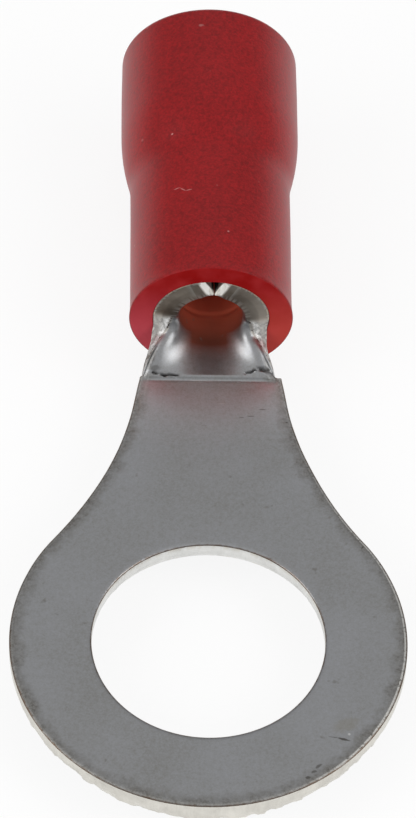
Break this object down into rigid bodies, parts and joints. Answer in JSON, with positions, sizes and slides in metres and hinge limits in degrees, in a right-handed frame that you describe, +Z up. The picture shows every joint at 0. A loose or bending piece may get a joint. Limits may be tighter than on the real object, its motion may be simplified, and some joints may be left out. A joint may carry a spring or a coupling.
{
  "type": "ring terminal",
  "caption": "Crimp ring terminal: a flat tinned ring for a stud, with a rolled barrel that grips a thin wire inside a red sleeve flared at its wire entry.",
  "frame": {"origin": "middle of the stud hole, on the underside of the flat ring", "axes": "+Z up through the stud hole, +Y from the ring along the barrel to the wire entry, +X to the right"},
  "size_m": [0.0114, 0.0267, 0.0054],
  "materials": {
    "tin_plate": "satin tin plating on copper sheet, brighter along its cut edges",
    "red_vinyl": "matt red soft vinyl with a smooth cut end"
  },
  "bodies": {
    "root": {"terminal": "tin_plate", "sleeve": "red_vinyl"}
  },
  "joints": []
}
